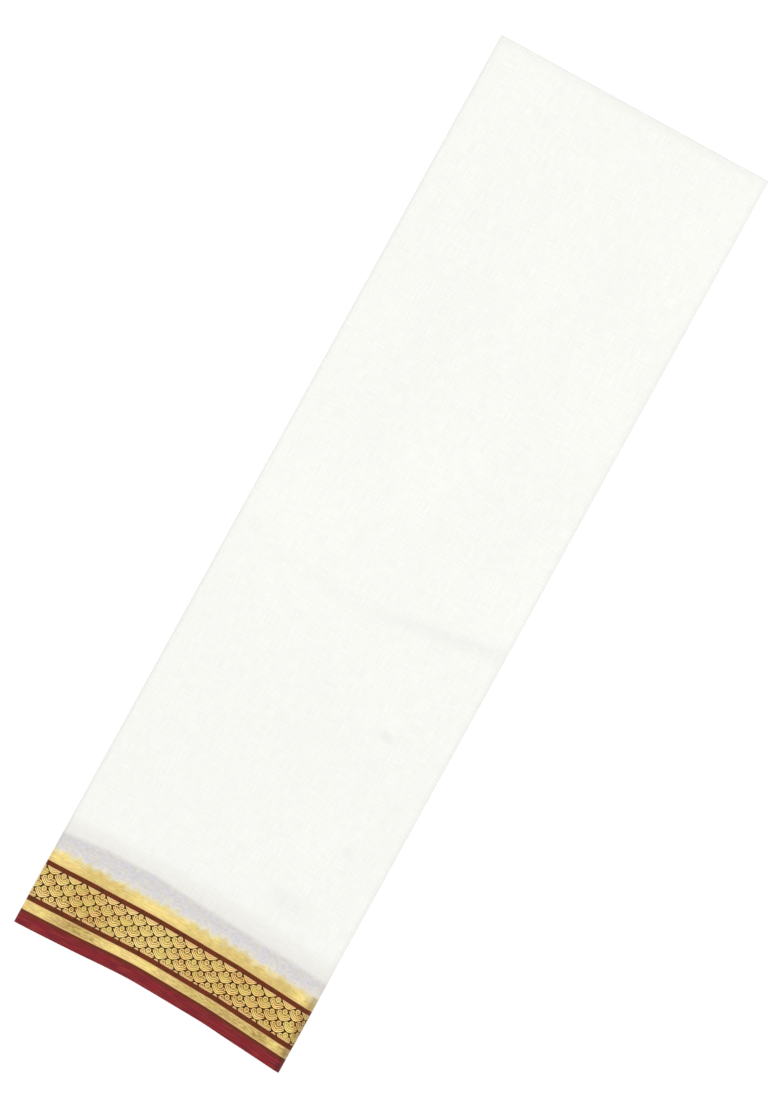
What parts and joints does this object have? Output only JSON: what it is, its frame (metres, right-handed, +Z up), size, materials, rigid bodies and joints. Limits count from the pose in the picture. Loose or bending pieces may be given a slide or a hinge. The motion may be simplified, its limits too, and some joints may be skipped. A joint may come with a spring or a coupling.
{
  "type": "folded silk sari",
  "caption": "Off-white silk sari folded flat into a long narrow strip, with a zari border of lotus buds and a maroon selvedge across one end.",
  "frame": {"origin": "middle of the folded strip's bounding box, on the surface it lies on", "axes": "+Z up; +Y along the strip, from the bordered selvedge end to the plain halved end; +X across it, towards the last fold"},
  "size_m": [0.1718, 0.5732, 0.0141],
  "materials": {
    "silk_ground": "off-white plain-woven silk, soft low sheen",
    "gold_zari": "gold zari weft over silk, fine crosswise ribs, satin glint",
    "brown_guard_weft": "dark brown silk guard line",
    "figured_zari": "gold zari figured with lotus buds outlined in brown",
    "maroon_silk": "maroon plain-woven silk selvedge",
    "folded_silk": "off-white silk seen at its folded edges"
  },
  "bodies": {
    "root": {"silk_field": "silk_ground", "toothed_gold_band": "gold_zari", "upper_guard_line": "brown_guard_weft", "lotus_band": "figured_zari", "lower_guard_line": "brown_guard_weft", "plain_gold_band": "gold_zari", "maroon_selvedge": "maroon_silk", "hidden_folds": "folded_silk"}
  },
  "joints": []
}
